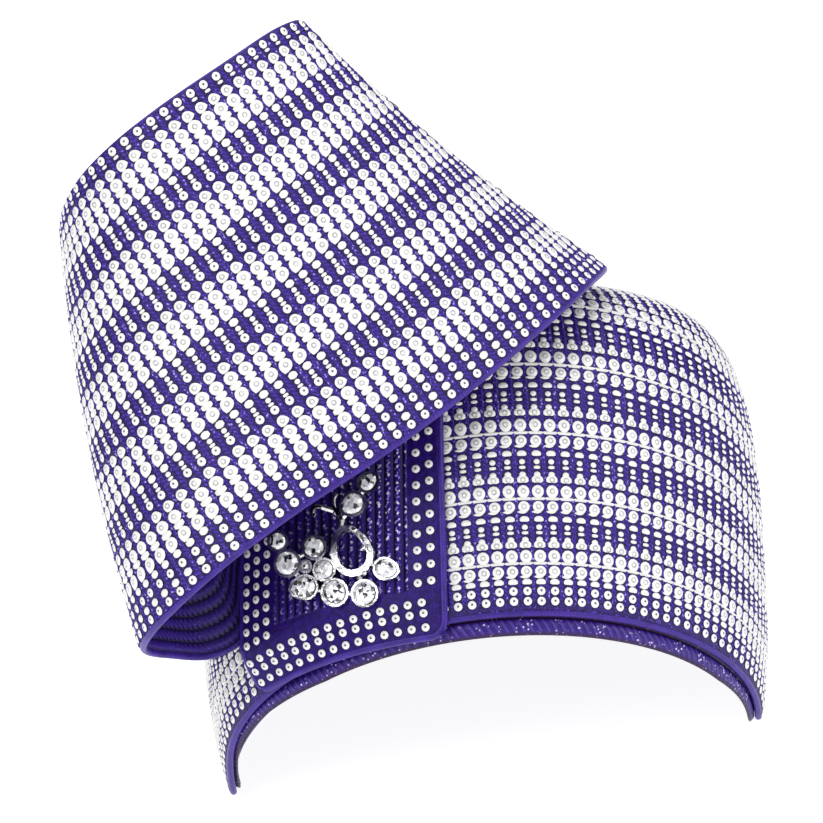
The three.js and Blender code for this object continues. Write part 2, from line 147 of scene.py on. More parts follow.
def face_along(piece, outward):
    """Turns a sheet over if its faces look against the outward direction at its middle face."""
    polygon = piece.data.polygons[len(piece.data.polygons) // 2]
    if np.dot(polygon.normal, outward(np.array(polygon.center))) < 0:
        bpy.ops.object.mode_set(mode="EDIT")
        bpy.ops.mesh.select_all(action="SELECT")
        bpy.ops.mesh.flip_normals()
        bpy.ops.object.mode_set(mode="OBJECT")


def stretch_map(piece, across, along):
    """Turns the sheet's UV shares into decimetres of cloth, from its size in millimetres."""
    layer = piece.data.uv_layers.active.data
    flat = np.empty(len(layer) * 2)
    layer.foreach_get("uv", flat)
    uv = flat.reshape(-1, 2) * np.array([across, along]) / 100
    layer.foreach_set("uv", uv.ravel())


def thicken(piece, thickness, inner_material=0):
    """Gives a sheet its wall, half of it to each side, and its edges."""
    wall = piece.modifiers.new("wall", "SOLIDIFY")
    wall.thickness = thickness / 1000
    wall.offset = 0
    wall.use_even_offset = False
    wall.material_offset = inner_material
    bpy.context.view_layer.objects.active = piece
    bpy.ops.object.modifier_apply(modifier=wall.name)


class Shade:
    """A value or colour on its way through a material's nodes, with the sums made from it."""

    def __init__(self, tree, socket):
        self.tree = tree
        self.socket = socket

    def into(self, socket):
        self.tree.links.new(self.socket, socket)

    def node(self, kind, *inputs, output=0, **settings):
        made = self.tree.nodes.new(kind)
        for key, value in settings.items():
            setattr(made, key, value)
        for place, value in enumerate(inputs):
            if isinstance(value, Shade):
                value.into(made.inputs[place])
            elif value is not None:
                made.inputs[place].default_value = value
        return Shade(self.tree, made.outputs[output])

    def maths(self, operation, *inputs):
        return self.node("ShaderNodeMath", *inputs, operation=operation)

    def __add__(self, other):
        return self.maths("ADD", self, other)

    def __sub__(self, other):
        return self.maths("SUBTRACT", self, other)

    def __rsub__(self, other):
        return self.maths("SUBTRACT", other, self)

    def __mul__(self, other):
        return self.maths("MULTIPLY", self, other)

    def __pow__(self, other):
        return self.maths("POWER", self, other)

    def __abs__(self):
        return self.maths("ABSOLUTE", self)

    def sine(self):
        return self.maths("SINE", self)

    def step(self, low, high):
        """Rises smoothly from 0 at low to 1 at high, or falls if low is the greater."""
        return self.node("ShaderNodeMapRange", self, low, high, 0.0, 1.0,
                         interpolation_type="SMOOTHSTEP")

    def mix(self, first, second):
        """One colour blended into another by this value."""
        blend = self.tree.nodes.new("ShaderNodeMix")
        blend.data_type = "RGBA"
        self.into(blend.inputs[0])
        for place, value in ((6, first), (7, second)):
            if isinstance(value, Shade):
                value.into(blend.inputs[place])
            else:
                blend.inputs[place].default_value = (*value, 1)
        return Shade(self.tree, blend.outputs[2])

    def noise(self, scale, detail=2.0):
        return self.node("ShaderNodeTexNoise", self, None, scale, detail, 0.5)

    def cells(self, scale):
        return self.node("ShaderNodeTexVoronoi", self, None, scale)

    def axes(self):
        parts = self.node("ShaderNodeSeparateXYZ", self)
        outputs = parts.socket.node.outputs
        return [Shade(self.tree, outputs[place]) for place in range(3)]


def new_material(name, roughness, metallic=0.0, **constants):
    """A material with one shader, its fixed values, and the places that patterns start from."""
    material = bpy.data.materials.new(name)
    material.use_nodes = True
    tree = material.node_tree
    shader = tree.nodes["Principled BSDF"]
    shader.inputs["Roughness"].default_value = roughness
    shader.inputs["Metallic"].default_value = metallic
    for key, value in constants.items():
        shader.inputs[key.replace("_", " ")].default_value = value
    coordinates = tree.nodes.new("ShaderNodeTexCoord")
    place = Shade(tree, coordinates.outputs["Object"])
    cloth = Shade(tree, coordinates.outputs["UV"])
    return material, shader, place, cloth


def raise_bump(shader, height, strength, distance):
    """Sends a height through a bump node into the shader's normal."""
    bump = height.tree.nodes.new("ShaderNodeBump")
    bump.inputs["Strength"].default_value = strength
    bump.inputs["Distance"].default_value = distance
    height.into(bump.inputs["Height"])
    height.tree.links.new(bump.outputs["Normal"], shader.inputs["Normal"])


MILLIMETRES = 100  # in the decimetre that the cloth's coordinates count in


def crown_meridians(offset):
    """The crown's wall from the rim up to the pole, as a place for sheets to lie on."""
    def place(around, rise):
        angle = around * 2 * math.pi
        turns, which = np.unique(np.round(angle, 9), return_inverse=True)
        low = rim_height(turns, RIM_CORD_FRONT + EDGE_IN_CORD[0], RIM_CORD_FLOOR + EDGE_IN_CORD[1],
                         offset)
        top = CROWN_HEIGHT + offset
        widest = (1 - WALL_SHARE ** CROWN_SHOULDER) ** (1 / CROWN_SHOULDER)
        points = np.empty((len(angle), 3))
        for place_on, (turn, bottom) in enumerate(zip(turns, low)):
            wall = bottom + (WALL_SHARE * top - bottom) * np.linspace(0, 1, 80, endpoint=False)
            spread = widest * np.cos(np.linspace(0, math.pi / 2, 161))
            cap = top * (1 - spread ** CROWN_SHOULDER) ** (1 / CROWN_SHOULDER)
            line = crown_point(turn, np.concatenate([wall, cap]), offset)
            line[-1] = (0, 0, top)
            reached = lengths_along(line)
            here = which == place_on
            points[here] = points_at(rise[here] * reached[-1], reached, line)
        return points
    return place


VIOLET_DARK = (0.009, 0.002, 0.055)
VIOLET = (0.030, 0.0065, 0.20)
VIOLET_LIGHT = (0.11, 0.050, 0.50)
INSIDE_RIB = 3.7

braid_ground, shader, place, cloth = new_material("braid_ground", 0.45, Specular_IOR_Level=0.3)
fibre = place.noise(1500.0, 3.0)
tone = fibre.step(0.40, 0.66).mix(VIOLET_DARK, VIOLET)
fleck = place.cells(1050.0)
tone = (fleck.step(0.40, 0.20) * place.noise(420.0).step(0.46, 0.58)).mix(tone, VIOLET_LIGHT)
tone.into(shader.inputs["Base Color"])
raise_bump(shader, fibre + fleck * 0.8, 0.5, 0.0004)

braid_inside, shader, place, cloth = new_material("braid_inside", 0.45, Specular_IOR_Level=0.3)
across, along, _ = cloth.axes()
zigzag = abs((across * MILLIMETRES * 2.2).sine()) * 0.35
rib = abs((along * MILLIMETRES * (math.pi / INSIDE_RIB) + zigzag).sine())
sparkle = place.cells(1300.0).step(0.22, 0.08) * place.noise(500.0).step(0.5, 0.6)
tone = rib.step(0.25, 0.85).mix((0.008, 0.002, 0.05), (0.030, 0.009, 0.19))
tone = (sparkle * rib.step(0.4, 0.9) * 0.8).mix(tone, (0.30, 0.22, 0.75))
tone.into(shader.inputs["Base Color"])
raise_bump(shader, rib + place.noise(1600.0) * 0.25, 0.7, 0.0009)

crown_shell = new_sheet("crown_shell", 180, 72, crown_meridians(-WALL / 2))
face_along(crown_shell, lambda centre: centre - settled((0, 0, 60)))
stretch_map(crown_shell, 540, 190)
crown_shell.data.materials.append(braid_ground)
crown_shell.data.materials.append(braid_inside)
thicken(crown_shell, WALL, inner_material=1)
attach(crown_shell, "root")
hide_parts("crown")


# Braid of the crown. White raised rings, caps, dots and one white thread repeat in rows about
# 18 mm apart, with soft violet cords between their columns. Each motif is a small glossy button
# that stands half a millimetre proud of the violet ground.
COLUMN_PITCH = 4.26
CORD_TWIST = 1.3
THREAD_HEIGHT = {-1: -5.0, 0: 11.8, 1: 28.6, 2: 46.2, 3: 65.7, 4: 86.6}
WALL_ROWS = 4
DOME_ROWS = 6.4
LAST_ROW = 10.2
BRAID_OVER_FRONT = 1.6
BRAID_OVER_FLOOR = 3.0
TAB_LEFT = math.radians(-62.5)
TAB_RIGHT = math.radians(-18)
ROW_CENTRE = np.array([0, -5.3, 2.5])
ROW_ACROSS = np.array([1.0, 0, 0])
ROW_BACK = np.array([0, math.cos(ROW_TILT), -math.sin(ROW_TILT)])
ROW_UP = np.array([0, math.sin(ROW_TILT), math.cos(ROW_TILT)])
TURNS = np.linspace(-math.pi, math.pi, 721)
TURN_WAYS = np.outer(np.sin(TURNS), ROW_ACROSS) - np.outer(np.cos(TURNS), ROW_BACK)


def crown_fullness(p):
    """Below 1 inside the crown's outer surface, 1 on it and more outside."""
    low = np.clip((CROWN_TUCK_HEIGHT - p[..., 2]) / CROWN_TUCK_HEIGHT, 0, None)
    tuck = 1 - CROWN_TUCK * low * low
    depth = np.where(p[..., 1] < 0, CROWN_FRONT_DEPTH, CROWN_BACK_DEPTH) * tuck
    flat = (p[..., 0] / (CROWN_HALF_WIDTH * tuck)) ** 2 + (p[..., 1] / depth) ** 2
    rise = np.clip(p[..., 2] / CROWN_HEIGHT, 0, None)
    return flat ** (CROWN_SHOULDER / 2) + rise ** CROWN_SHOULDER


def crown_reach(centre, ways):
    near = np.zeros(ways.shape[:-1])
    far = np.full(ways.shape[:-1], 220.0)
    for _ in range(34):
        middle = (near + far) / 2
        inside = crown_fullness(centre + ways * middle[..., None]) < 1
        near = np.where(inside, middle, near)
        far = np.where(inside, far, middle)
    return centre + ways * near[..., None]


def crown_outward(p):
    step = 0.05
    slope = [crown_fullness(p + step * axis) - crown_fullness(p - step * axis)
             for axis in np.eye(3)]
    return unit(np.stack(slope, -1))


def wall_row(count):
    height = np.interp(count, list(THREAD_HEIGHT), list(THREAD_HEIGHT.values()))
    return crown_reach(ROW_CENTRE + height * ROW_UP, TURN_WAYS)


DOME_CENTRE = ROW_CENTRE + 45 * ROW_UP
dome_start = wall_row(WALL_ROWS) - DOME_CENTRE
dome_angle = np.arctan2(dome_start @ ROW_UP, (dome_start * TURN_WAYS).sum(-1))
dome_lines = []
for share in np.linspace(0, 1, 61):
    angle = dome_angle + (math.pi / 2 - dome_angle) * share
    ways = np.cos(angle)[:, None] * TURN_WAYS + np.sin(angle)[:, None] * ROW_UP
    dome_lines.append(crown_reach(DOME_CENTRE, ways))
dome_lines = np.array(dome_lines)
dome_reached = np.cumsum(np.linalg.norm(np.diff(dome_lines, axis=0), axis=2), axis=0)
dome_reached = np.vstack([np.zeros(len(TURNS)), dome_reached])


def crown_row(count):
    """One closed row, a number of braid widths above the lowest white thread."""
    if count <= WALL_ROWS:
        return wall_row(count)
    wanted = (count - WALL_ROWS) / DOME_ROWS * dome_reached[-1]
    return np.array([points_at(wanted[turn], dome_reached[:, turn], dome_lines[:, turn])
                     for turn in range(len(TURNS))])


def places_on_row(line, steps, outward):
    """Points at distances along a row, with their ways along it, up the cloth and out of it."""
    reached = lengths_along(line)
    around = reached[-1]
    reached -= reached[len(reached) // 2]

    def at(distance):
        distance = (distance - reached[0]) % around + reached[0]
        return points_at(distance, reached, line)

    point = at(steps)
    out = outward(point)
    along = at(steps + 0.6) - at(steps - 0.6)
    along = unit(along - (along * out).sum(-1, keepdims=True) * out)
    return point, along, np.cross(out, along), out


def row_length(line):
    return np.linalg.norm(np.diff(line, axis=0), axis=1).sum()


def shown_runs(shows):
    """The runs of three places or more that show, as slices."""
    edges = np.flatnonzero(np.diff(np.concatenate([[0], shows.astype(int), [0]])))
    return [slice(start, end) for start, end in zip(edges[::2], edges[1::2]) if end - start > 2]


def tab_covers(p):
    """Whether points of the crown are out of sight under the tab, where no motif is needed."""
    angle = np.arctan2(p[..., 0] / CROWN_HALF_WIDTH, -p[..., 1] / CROWN_FRONT_DEPTH)
    across = (angle - TAB_LEFT) / (TAB_RIGHT - TAB_LEFT)
    top = 62 + 30 * across
    return (across > 0.09) & (across < 0.93) & (p[..., 2] < top) & (p[..., 1] < 0)


def crown_shows(p):
    clear_of_rim = (over_front(p) > BRAID_OVER_FRONT) & (over_floor(p) > BRAID_OVER_FLOOR)
    return clear_of_rim & ~tab_covers(p)


FOOT_SPREAD = 0.20
FOOT_RISE = 0.2


def new_button(sides, wide, tall, square=2.0, tips=(), rise=0.5, flat=None):
    """One motif, modelled flat: a disc whose foot is painted near-black as the shadow round it, and
    a domed white top. A tip is a turn in degrees and how much longer it reaches there; flat cuts
    the bottom off at a height."""
    bpy.ops.object.select_all(action="DESELECT")
    bpy.ops.mesh.primitive_circle_add(vertices=sides, radius=1, fill_type="NGON")
    button = bpy.context.object
    start = math.radians(tips[0][0]) if tips else math.pi / sides
    for corner, vertex in enumerate(button.data.vertices):
        turn = start + corner * 2 * math.pi / sides
        x = abs(math.cos(turn)) / (wide / 2)
        y = abs(math.sin(turn)) / (tall / 2)
        reach = (x ** square + y ** square) ** (-1 / square) + FOOT_SPREAD
        for tip, longer in tips:
            reach *= 1 + longer * max(0, math.cos(turn - math.radians(tip))) ** 9
        vertex.co = (reach * math.cos(turn), reach * math.sin(turn), 0)
        if flat is not None:
            vertex.co.y = max(vertex.co.y, flat)
    bpy.ops.object.mode_set(mode="EDIT")
    bpy.ops.mesh.select_all(action="SELECT")
    bpy.ops.mesh.normals_make_consistent(inside=False)
    bpy.ops.mesh.inset(thickness=min(0.22, 0.2 * min(wide, tall)), depth=FOOT_RISE)
    bpy.ops.mesh.inset(thickness=0.09 * min(wide, tall) + 0.04, depth=rise - FOOT_RISE)
    bpy.ops.mesh.poke(offset=0.12 * rise)
    bpy.ops.object.mode_set(mode="OBJECT")
    points = np.array([vertex.co for vertex in button.data.vertices])
    faces = [tuple(face.vertices) for face in button.data.polygons]
    bpy.data.objects.remove(button)
    return points, faces


PLAIN, RINGED, PIERCED, PAINTED_SHADOW = range(4)


def new_mesh(name, points, corners, sizes, marks, kinds):
    """A piece from its points, the corners and size of each face, its UVs and its materials."""
    mesh = bpy.data.meshes.new(name)
    mesh.vertices.add(len(points))
    mesh.vertices.foreach_set("co", settled(points).ravel())
    mesh.loops.add(len(corners))
    mesh.loops.foreach_set("vertex_index", corners.astype(np.int32))
    mesh.polygons.add(len(sizes))
    starts = np.append(0, np.cumsum(sizes)[:-1])
    mesh.polygons.foreach_set("loop_start", starts.astype(np.int32))
    mesh.polygons.foreach_set("material_index", kinds.astype(np.int32))
    mesh.uv_layers.new(name="UVMap")
    mesh.uv_layers.active.data.foreach_set("uv", marks.ravel())
    mesh.update(calc_edges=True)
    mesh.validate()
    mesh.shade_smooth()
    piece = bpy.data.objects.new(name, mesh)
    bpy.context.collection.objects.link(piece)
    return piece


def scattered(name, lots):
    """Copies of buttons in one mesh: each lot is a button, its places, its material and whether
    its UVs show where the button's middle is."""
    points, sizes, corners, kinds, marks = [], [], [], [], []
    first = 0
    for (button, faces), (point, along, up, out), kind, marked in lots:
        count = len(point)
        spots = (point[:, None, :] + button[None, :, :1] * along[:, None, :]
                 + button[None, :, 1:2] * up[:, None, :] + button[None, :, 2:] * out[:, None, :])
        points.append(spots.reshape(-1, 3))
        one = np.concatenate([np.array(face) for face in faces])
        shift = first + np.arange(count) * len(button)
        corners.append((one[None, :] + shift[:, None]).ravel())
        sizes.append(np.tile([len(face) for face in faces], count))
        # The faces at each button's foot take the painted shadow.
        foot = [button[list(face), 2].min() < FOOT_RISE / 10 for face in faces]
        kinds.append(np.tile(np.where(foot, PAINTED_SHADOW, kind), count))
        flat = button[one, :2] / 10 + 0.5 if marked else np.full((len(one), 2), 0.05)
        marks.append(np.tile(flat, (count, 1)))
        first += count * len(button)
    return new_mesh(name, np.concatenate(points), np.concatenate(corners), np.concatenate(sizes),
                    np.concatenate(marks), np.concatenate(kinds))


CORD_SUNK = 0.1


def ribbons(name, lines, wide, tall, wave=0.0):
    """Raised cords in one mesh: each line is its points, its ways across and its ways out."""
    points, corners, marks = [], [], []
    first = 0
    for line, side, out in lines:
        if np.dot(np.cross(side[0], line[1] - line[0]), out[0]) < 0:
            side = -side
        count = len(line)
        middle = line + wave * np.sin(np.arange(count) * 2.2)[:, None] * side
        rows = [middle - side * wide / 2 - out * CORD_SUNK, middle + out * tall,
                middle + side * wide / 2 - out * CORD_SUNK]
        points.append(np.stack(rows, 1).reshape(-1, 3))
        step = np.arange(count - 1)[:, None] * 3 + first
        left = np.concatenate([step, step + 1, step + 4, step + 3], 1)
        corners.append(np.stack([left, left + 1], 1).reshape(-1))
        reached = lengths_along(line) / 100
        low, high = reached[:-1, None], reached[1:, None]
        edge, ridge, other_edge = 0 * low, 0 * low + 0.5, 0 * low + 1
        one = np.concatenate([edge, low, ridge, low, ridge, high, edge, high], 1)
        two = np.concatenate([ridge, low, other_edge, low, other_edge, high, ridge, high], 1)
        marks.append(np.stack([one, two], 1).reshape(-1, 2))
        first += count * 3
    corners = np.concatenate(corners)
    faces = len(corners) // 4
    return new_mesh(name, np.concatenate(points), corners, np.full(faces, 4),
                    np.concatenate(marks), np.zeros(faces))


WHITE = (0.76, 0.76, 0.745)

# Painted shadow: the foot of every button is near-black, standing in for the shade in the gap where
# it meets the violet ground.
painted_shadow_foot, shader, place, cloth = new_material("painted_shadow_foot", 0.6, Specular_IOR_Level=0.2)
tone = place.noise(900.0).mix((0.005, 0.001, 0.022), (0.013, 0.003, 0.060))
tone.into(shader.inputs["Base Color"])

white_enamel, shader, place, cloth = new_material("white_enamel", 0.32, Coat_Weight=0.25)
shade_of_white = place.noise(900.0).step(0.3, 0.7).mix((0.69, 0.69, 0.675), WHITE)
shade_of_white.into(shader.inputs["Base Color"])
raise_bump(shader, place.noise(1800.0), 0.15, 0.0002)

white_ringed, shader, place, cloth = new_material("white_ringed", 0.32, Coat_Weight=0.25)
x, y, _ = cloth.axes()
from_middle = ((x - 0.5) ** 2 + (y - 0.5) ** 2) ** 0.5 * 10
ring = abs(from_middle - 0.62).step(0.30, 0.06)
worn = place.noise(700.0).step(0.35, 0.65) * 0.5 + 0.5
(ring * worn).mix(WHITE, (0.30, 0.30, 0.31)).into(shader.inputs["Base Color"])
raise_bump(shader, ring, 0.5, 0.0003)

white_pierced, shader, place, cloth = new_material("white_pierced", 0.32, Coat_Weight=0.25)
x, y, _ = cloth.axes()
from_middle = ((x - 0.5) ** 2 + (y - 0.51) ** 2) ** 0.5 * 10
hole = from_middle.step(0.40, 0.22)
hole.mix(WHITE, (0.10, 0.08, 0.17)).into(shader.inputs["Base Color"])
raise_bump(shader, 1 - hole, 0.8, 0.0006)


def enamel(piece):
    """Gives a piece of buttons its materials, in the order that their kinds count in."""
    for material in (white_enamel, white_ringed, white_pierced, painted_shadow_foot):
        piece.data.materials.append(material)


violet_cord, shader, place, cloth = new_material("violet_cord", 0.38, Specular_IOR_Level=0.3)
x, y, _ = cloth.axes()
twist = (x * 4.5 + y * MILLIMETRES * (2 * math.pi / CORD_TWIST)).sine() * 0.5 + 0.5
tone = twist.mix((0.014, 0.003, 0.11), (0.052, 0.015, 0.34))
glint = place.cells(1000.0).step(0.40, 0.20) * place.noise(380.0).step(0.47, 0.57)
glint.mix(tone, (0.36, 0.28, 0.82)).into(shader.inputs["Base Color"])
raise_bump(shader, twist, 0.6, 0.0003)

# The motifs of one braid width. Each has its share of the width above the white thread, its
# button, its material and whether it is marked. The width at the rim has shares of its own, and
# None where it lacks a motif. Only that width has the two rows of pierced dots.
RIM_WIDTH = -1
crown_motifs = [  # share, share at the rim, step aside, button, material, marked
    (0.107, None, 0, new_button(12, 3.6, 3.7, tips=((270, 0.22),)), RINGED, True),
    (0.277, None, 0, new_button(10, 3.4, 2.8, square=2.8, flat=-1.0), RINGED, True),
    (0.362, None, 0, new_button(8, 2.1, 1.7, tips=((270, 0.3),)), PLAIN, False),
    (0.468, None, 0, new_button(8, 2.3, 1.0, square=3.0), PLAIN, False),
    (0.554, None, 0, new_button(8, 1.8, 1.6, square=3.0), PLAIN, False),
    (0.671, 0.706, 0, new_button(10, 2.9, 2.1, square=2.6, flat=-0.8), PLAIN, False),
    (0.873, 0.873, 0, new_button(12, 3.4, 3.3), RINGED, True),
    (0.792, 0.792, -0.45, new_button(8, 3.3, 1.0, square=2.4, tips=((180, 0.25),)), PLAIN, False),
    (None, 0.574, 0, new_button(12, 2.5, 2.5), PIERCED, True),
    (None, 0.420, 0, new_button(12, 2.5, 2.5), PIERCED, True),
]
crown_lots = [[] for _ in crown_motifs]
crown_cords = []
crown_threads = []
for width in range(RIM_WIDTH, 11):
    around = row_length(crown_row(2 if width < WALL_ROWS else min(width + 0.5, LAST_ROW)))
    columns = max(6, round(around / COLUMN_PITCH))
    middle_column = columns // 2
    for lot, (share, rim_share, aside, _, _, _) in zip(crown_lots, crown_motifs):
        above = rim_share if width == RIM_WIDTH else share
        if above is None or width + above > LAST_ROW:
            continue
        line = crown_row(width + above)
        steps = (np.arange(columns) - middle_column) * row_length(line) / columns + aside
        spots = places_on_row(line, steps, crown_outward)
        shows = crown_shows(spots[0])
        lot.append([part[shows] for part in spots])
    grid = []
    for share in np.linspace(0, 1, 10):
        line = crown_row(min(width + share, LAST_ROW + 0.05))
        steps = (np.arange(columns) - middle_column + 0.5) * row_length(line) / columns
        grid.append(places_on_row(line, steps, crown_outward))
    for column in range(columns):
        line, side, _, out = (np.array([spots[part][column] for spots in grid]) for part in range(4))
        shows = crown_shows(line)
        if shows.sum() >= 2:
            crown_cords.append((line[shows], side[shows], out[shows]))
    line = crown_row(width)
    fine = np.arange(3 * columns + 1) - 3 * columns // 2
    spots = places_on_row(line, fine * row_length(line) / (3 * columns), crown_outward)
    for part in shown_runs(crown_shows(spots[0])):
        crown_threads.append((spots[0][part], spots[2][part], spots[3][part]))

crown_lots = [
    (button, tuple(np.concatenate(parts) for parts in zip(*lot)), kind, marked)
    for (_, _, _, button, kind, marked), lot in zip(crown_motifs, crown_lots)
]
crown_rings = scattered("crown_rings", [lot for lot in crown_lots if lot[3]])
crown_chips = scattered("crown_chips", [lot for lot in crown_lots if not lot[3]])
enamel(crown_rings)
enamel(crown_chips)
crown_cord_work = ribbons("crown_cord_work", crown_cords, 1.25, 0.42, wave=0.12)
crown_cord_work.data.materials.append(violet_cord)
crown_thread_work = ribbons("crown_thread_work", crown_threads, 1.0, 0.62)
crown_thread_work.data.materials.append(white_enamel)
for piece in (crown_rings, crown_chips, crown_cord_work, crown_thread_work):
    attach(piece, "root")


# Rim cord. A round satin piping sewn over the raw edge of the crown, all the way round, and
# pressed flat along the stretch that the hat stands on.
RIM_CORD_RADIUS = 1.05
PIPING_THREAD = 0.9


def cord_place(path, beside, radius):
    """A round cord through a path's points: shares run along the path and round the cord."""
    index = np.arange(len(path))
    last = len(path) - 1
    closed = np.allclose(path[0], path[-1])

    def near(spot):
        return points_at(spot % last if closed else np.clip(spot, 0, last), index, path)

    def place(along, around):
        spot = along * last
        way = unit(near(spot + 0.5) - near(spot - 0.5))
        side = points_at(spot, index, beside)
        side = unit(side - (side * way).sum(-1, keepdims=True) * way)
        up = np.cross(way, side)
        angle = (around * 2 * math.pi)[:, None]
        return points_at(spot, index, path) + radius * (np.cos(angle) * side + np.sin(angle) * up)
    return place


def close_up(cord):
    """Caps a cord's open ends and turns its faces outwards."""
    bpy.ops.object.select_all(action="DESELECT")
    cord.select_set(True)
    bpy.context.view_layer.objects.active = cord
    bpy.ops.object.mode_set(mode="EDIT")
    bpy.ops.mesh.select_all(action="SELECT")
    bpy.ops.mesh.fill_holes(sides=0)
    bpy.ops.mesh.normals_make_consistent(inside=False)
    bpy.ops.object.mode_set(mode="OBJECT")


satin_piping, shader, place, cloth = new_material("satin_piping", 0.36, Specular_IOR_Level=0.3)
x, y, _ = cloth.axes()
thread = (x * MILLIMETRES * (2 * math.pi / PIPING_THREAD) + y * 6.283).sine() * 0.5 + 0.5
tone = place.noise(260.0).step(0.3, 0.7).mix((0.028, 0.007, 0.18), (0.048, 0.014, 0.27))
(thread * 0.35).mix(tone, (0.018, 0.006, 0.12)).into(shader.inputs["Base Color"])
raise_bump(shader, thread, 0.25, 0.0002)

rim_turns = np.linspace(0, 2 * math.pi, 361)
rim_heights = rim_height(rim_turns, RIM_CORD_FRONT, RIM_CORD_FLOOR, -WALL / 2)
rim_path = crown_point(rim_turns, rim_heights, -WALL / 2)
rim_beside = np.stack([np.sin(rim_turns), -np.cos(rim_turns), 0 * rim_turns], -1)
rim_cord = new_sheet("rim_cord", 360, 14, cord_place(rim_path, rim_beside, RIM_CORD_RADIUS))
for vertex in rim_cord.data.vertices:
    vertex.co.z = max(vertex.co.z, 0)
close_up(rim_cord)
stretch_map(rim_cord, 560, 1)
rim_cord.data.materials.append(satin_piping)
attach(rim_cord, "root")
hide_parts("rim_binding")


# Brow band. Two round ribs of the plain braid, sewn inside the front of the rim to fit the head.
# Their lower edge hangs a little under the rim cord, and they fade out behind the ears.
BROW_ENDS = math.radians(104)
BROW_DROP = 4.3
BROW_TOP = 4.2
BROW_END_DROP = -2.2
BROW_OVER_FLOOR = (0.9, 2.6)
BROW_INWARDS = -WALL - 1.7
BROW_RIB = 3.9


def brow_place(across, rise):
    angle = (across * 2 - 1) * BROW_ENDS
    turns, which = np.unique(np.round(angle, 9), return_inverse=True)
    fade = np.clip((1 - np.abs(turns) / BROW_ENDS) / 0.55, 0, 1) ** 0.8
    drop = BROW_END_DROP + (BROW_DROP - BROW_END_DROP) * fade
    low = rim_height(turns, -drop, BROW_OVER_FLOOR[0], BROW_INWARDS)
    high = rim_height(turns, BROW_TOP, BROW_OVER_FLOOR[1], BROW_INWARDS)
    z = low[which] + (high - low)[which] * rise
    bulge = np.abs(np.sin(2 * math.pi * rise)) ** 0.7
    surface = crown_point(angle, z, BROW_INWARDS)
    away = unit(surface * np.array([1, 1, 0]))
    return surface + away * bulge[..., None]


brow_rib, shader, place, cloth = new_material("brow_rib", 0.42, Specular_IOR_Level=0.3)
across, along, _ = cloth.axes()
groove = abs((along * MILLIMETRES * (math.pi / BROW_RIB)).sine())
zigzag = abs((across * MILLIMETRES * 1.3 + along * MILLIMETRES * 1.1).sine())
tone = groove.step(0.15, 0.7).mix((0.020, 0.002, 0.040), (0.022, 0.005, 0.14))
tone = (zigzag.step(0.75, 0.98) * groove.step(0.3, 0.8) * 0.35).mix(tone, (0.13, 0.07, 0.50))
glint = place.cells(900.0).step(0.34, 0.16) * place.noise(300.0).step(0.46, 0.56) * groove
glint.mix(tone, (0.70, 0.62, 0.92)).into(shader.inputs["Base Color"])
raise_bump(shader, zigzag * 0.3 + place.noise(1500.0) * 0.3, 0.6, 0.0005)

brow_band = new_sheet("brow_band", 200, 24, brow_place)
face_along(brow_band, lambda centre: np.array([0, -1, 0]))
stretch_map(brow_band, 300, 2 * BROW_RIB)
brow_band.data.materials.append(brow_rib)
thicken(brow_band, 0.8)
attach(brow_band, "root")


# Flap. One wide band of the same braid, turned into a loop that stands up at the side of the
# crown, with its end sewn down under the tab. Its edges are given as places in their order:
# across the front from the right corner to the left, round the left turn and back behind.
FLAP_LOWER_EDGE = [  # x, y, z
    (27, -52, 136), (16, -74, 125), (-3, -86, 108), (-27, -92, 88), (-49, -94, 72),
    (-72, -94, 57), (-90, -90, 44), (-102, -81, 34), (-109, -66, 27), (-109, -50, 24),
    (-100, -38, 24), (-87, -30, 25), (-78, -32, 30), (-76, -34, 46), (-74, -38, 62),
    (-70, -42, 82), (-54, -55, 100), (-34, -65, 109), (-11, -67, 119), (11, -60, 129),
]
FLAP_UPPER_EDGE = [
    (-68, -86, 198), (-75, -94, 194), (-92, -101, 181), (-110, -101, 168), (-122, -95, 159),
    (-130, -81, 152), (-132, -61, 147), (-129, -45, 144), (-118, -33, 151), (-102, -39, 165),
    (-85, -55, 179), (-73, -75, 191),
]
FLAP_BOW = np.array([-3.3, 0, -1.3])
FLAP_LENGTH = 336
FLAP_WIDTH = 118
FLAP_SEAM = 0.70
FIRST_MOTIF = 0.059
MOTIF_STEP = 0.1843
LAST_MOTIF = 0.88
FLAP_COLUMNS = np.arange(-60, 91)


def closed_edge(places, count=2400):
    """A smooth closed curve through its places, with points at equal distances along it."""
    places = np.array(places, float)
    parts = []
    for i in range(len(places)):
        a, b, c, d = (places[(i + k) % len(places)] for k in (-1, 0, 1, 2))
        t1 = np.linalg.norm(b - a) ** 0.5
        t2 = t1 + np.linalg.norm(c - b) ** 0.5
        t3 = t2 + np.linalg.norm(d - c) ** 0.5
        t = np.linspace(t1, t2, 80, endpoint=False)[:, None]
        ab = (t1 - t) / t1 * a + t / t1 * b
        bc = (t2 - t) / (t2 - t1) * b + (t - t1) / (t2 - t1) * c
        cd = (t3 - t) / (t3 - t2) * c + (t - t2) / (t3 - t2) * d
        abc = (t2 - t) / t2 * ab + t / t2 * bc
        bcd = (t3 - t) / (t3 - t1) * bc + (t - t1) / (t3 - t1) * cd
        parts.append((t2 - t) / (t2 - t1) * abc + (t - t1) / (t2 - t1) * bcd)
    line = np.concatenate(parts + [parts[0][:1]])
    reached = lengths_along(line)
    return points_at(np.linspace(0, reached[-1], count + 1), reached, line)


flap_upper = closed_edge(FLAP_UPPER_EDGE)
flap_lower = closed_edge(FLAP_LOWER_EDGE)


def flap_row(down):
    return flap_upper * (1 - down) + flap_lower * down + FLAP_BOW * 4 * down * (1 - down)


def flap_place(turn, down):
    spot = np.mod(turn, 1) * (len(flap_upper) - 1)
    index = np.arange(len(flap_upper))
    high = points_at(spot, index, flap_upper)
    low = points_at(spot, index, flap_lower)
    down = np.broadcast_to(down, np.shape(turn))[..., None]
    return high * (1 - down) + low * down + FLAP_BOW * 4 * down * (1 - down)


